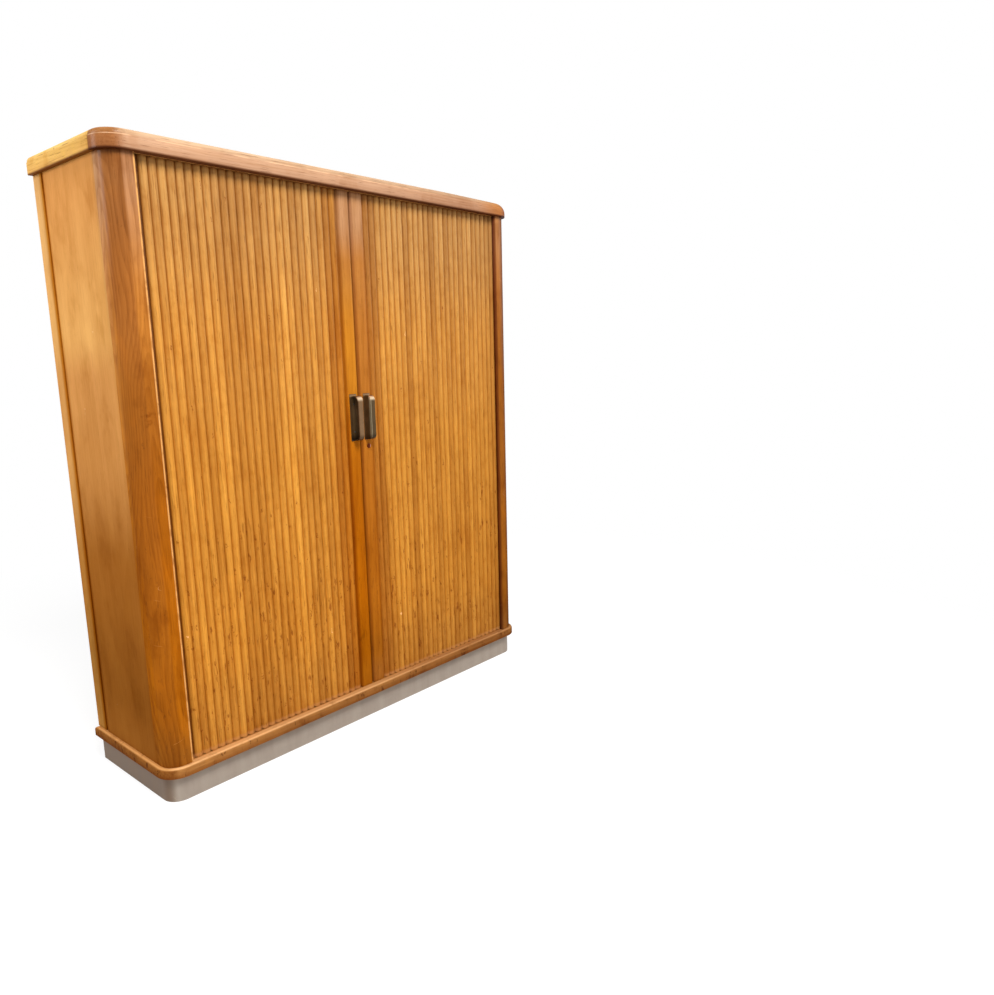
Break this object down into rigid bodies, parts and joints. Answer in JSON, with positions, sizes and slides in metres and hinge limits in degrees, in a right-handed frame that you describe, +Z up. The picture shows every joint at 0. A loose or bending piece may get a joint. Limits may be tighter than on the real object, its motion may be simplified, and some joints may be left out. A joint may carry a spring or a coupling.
{
  "type": "shelving cabinet",
  "caption": "Tall wooden shelving cabinet on a grey plinth, with rounded front corners and two ribbed curtain doors that slide apart from bronze pulls.",
  "frame": {"origin": "on the floor under the middle of the bounding box, which runs from the front of the pulls to the cabinet's back", "axes": "+Z up, +X to the right seen from the front, +Y from the doors to the back"},
  "size_m": [1.668, 0.516, 1.95],
  "materials": {
    "top_front_edging": "satin varnish",
    "top_side_edging": "satin varnish",
    "top_board": "satin varnish",
    "base_edging": "satin varnish, worn pale on the edge",
    "base_board": "satin varnish",
    "plinth": "matte grey paint",
    "raw_wood": "bare",
    "post": "satin varnish",
    "side_panel": "satin varnish",
    "inner_wood": "satin varnish",
    "back_ply": "bare",
    "slat": "satin varnish",
    "canvas": "woven",
    "stile": "satin varnish",
    "bronze": "dark bronze, worn",
    "steel": "dull zinc plate",
    "brass": "dull"
  },
  "bodies": {
    "left_door": {"meeting_stile_left": "stile", "handle_left": "bronze", "handle_screws_left": "steel", "lock_keeper": "steel"},
    "right_door": {"meeting_stile_right": "stile", "handle_right": "bronze", "handle_screws_right": "steel", "lock_ring": "brass", "lock_bearing": "steel"},
    "lock": {"lock_plug": "brass", "lock_hook": "steel"},
    "carcass": {"top_front_edging": "top_front_edging", "top_side_edging_left": "top_side_edging", "top_side_edging_right": "top_side_edging", "top_board": "top_board", "base_front_edging": "base_edging", "base_side_edging_left": "base_edging", "base_side_edging_right": "base_edging", "base_board": "base_board", "plinth_front": "plinth", "plinth_back": "plinth", "plinth_side_left": "plinth", "plinth_side_right": "plinth", "plinth_bearers": "raw_wood", "back_batten": "raw_wood", "pocket_corner_left": "raw_wood", "pocket_corner_right": "raw_wood", "corner_post_left": "post", "corner_post_right": "post", "side_panel_left": "side_panel", "side_panel_right": "side_panel", "rear_post_left": "side_panel", "rear_post_right": "side_panel", "partition": "inner_wood", "liner_left": "inner_wood", "liner_right": "inner_wood", "inner_back_left": "inner_wood", "inner_back_right": "inner_wood", "shelf_1_left": "inner_wood", "shelf_1_right": "inner_wood", "shelf_2_left": "inner_wood", "shelf_2_right": "inner_wood", "shelf_3_left": "inner_wood", "shelf_3_right": "inner_wood", "shelf_4_left": "inner_wood", "shelf_4_right": "inner_wood", "outer_back_left": "back_ply", "outer_back_right": "back_ply", "curtain_slats_left": "slat", "curtain_slats_right": "slat", "curtain_tail_slats_left": "slat", "curtain_tail_slats_right": "slat", "curtain_canvas_left": "canvas", "curtain_canvas_right": "canvas", "curtain_tail_canvas_left": "canvas", "curtain_tail_canvas_right": "canvas", "back_screws": "steel", "shelf_supports_left": "steel", "shelf_supports_right": "steel"}
  },
  "joints": [
    {"name": "left_door_slide", "type": "slide", "parent": "carcass", "child": "left_door", "axis": [-1, 0, 0], "range_m": [0, 0.678], "deforming": ["curtain_slats_left", "curtain_canvas_left"]},
    {"name": "right_door_slide", "type": "slide", "parent": "carcass", "child": "right_door", "axis": [1, 0, 0], "range_m": [0, 0.678], "deforming": ["curtain_slats_right", "curtain_canvas_right"]},
    {"name": "lock_turn", "type": "hinge", "parent": "right_door", "child": "lock", "pos_m": [0.0325, -0.2, 1.022], "axis": [0, -1, 0], "range_deg": [0, 90]}
  ]
}
